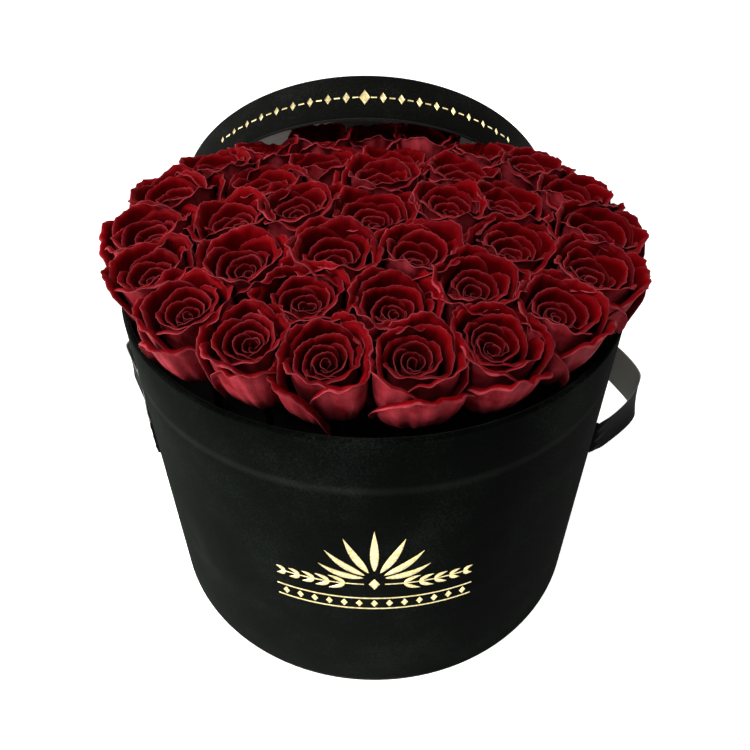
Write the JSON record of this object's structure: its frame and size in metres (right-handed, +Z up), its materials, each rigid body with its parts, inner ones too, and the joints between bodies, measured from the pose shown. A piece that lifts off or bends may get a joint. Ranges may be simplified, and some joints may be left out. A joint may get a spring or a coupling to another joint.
{
  "type": "flower box",
  "caption": "Round velvet-covered flower box with a dome of preserved red roses set in foam, satin ribbon side loops and a lift-off lid leaning behind it.",
  "frame": {"origin": "centre of the box's underside, on the surface that it stands on", "axes": "+Z up along the box's axis, -Y towards the front, +X to the right, the lid leans behind at +Y"},
  "size_m": [0.3288, 0.3651, 0.2779],
  "materials": {
    "velvet": "short black velvet nap, dull with a pale sheen at grazing angles",
    "board": "grey board",
    "cover_paper": "matt black paper",
    "lining_paper": "pale matt paper",
    "foam": "dark dry floral foam",
    "petals": "soft deep red petals, paler at the edges and on their backs",
    "satin": "black satin"
  },
  "bodies": {
    "box": {"base_cover": "cover_paper", "box_base": "board", "box_wall": "board", "box_wrap": "velvet", "floral_foam": "foam", "ribbon_knots_left": "satin", "ribbon_knots_right": "satin", "rose_centre": "petals", "rose_inner_1": "petals", "rose_inner_2": "petals", "rose_inner_3": "petals", "rose_inner_4": "petals", "rose_inner_5": "petals", "rose_middle_1": "petals", "rose_middle_10": "petals", "rose_middle_11": "petals", "rose_middle_2": "petals", "rose_middle_3": "petals", "rose_middle_4": "petals", "rose_middle_5": "petals", "rose_middle_6": "petals", "rose_middle_7": "petals", "rose_middle_8": "petals", "rose_middle_9": "petals", "rose_outer_1": "petals", "rose_outer_10": "petals", "rose_outer_11": "petals", "rose_outer_12": "petals", "rose_outer_13": "petals", "rose_outer_14": "petals", "rose_outer_15": "petals", "rose_outer_16": "petals", "rose_outer_17": "petals", "rose_outer_18": "petals", "rose_outer_19": "petals", "rose_outer_2": "petals", "rose_outer_3": "petals", "rose_outer_4": "petals", "rose_outer_5": "petals", "rose_outer_6": "petals", "rose_outer_7": "petals", "rose_outer_8": "petals", "rose_outer_9": "petals"},
    "lid": {"lid_top": "board", "lid_rim": "board", "lid_wrap": "velvet", "lid_lining": "lining_paper"},
    "ribbon_left": {"ribbon_handle_left": "satin"},
    "ribbon_right": {"ribbon_handle_right": "satin"}
  },
  "joints": [
    {"name": "lid_lift", "type": "slide", "parent": "box", "child": "lid", "axis": [0, 0, 1], "range_m": [0, 0.35]},
    {"name": "ribbon_left_swing", "type": "hinge", "parent": "box", "child": "ribbon_left", "pos_m": [-0.13, 0, 0.128], "axis": [0, 1, 0], "range_deg": [-15, 15]},
    {"name": "ribbon_right_swing", "type": "hinge", "parent": "box", "child": "ribbon_right", "pos_m": [0.13, 0, 0.128], "axis": [0, -1, 0], "range_deg": [-30, 30]}
  ]
}
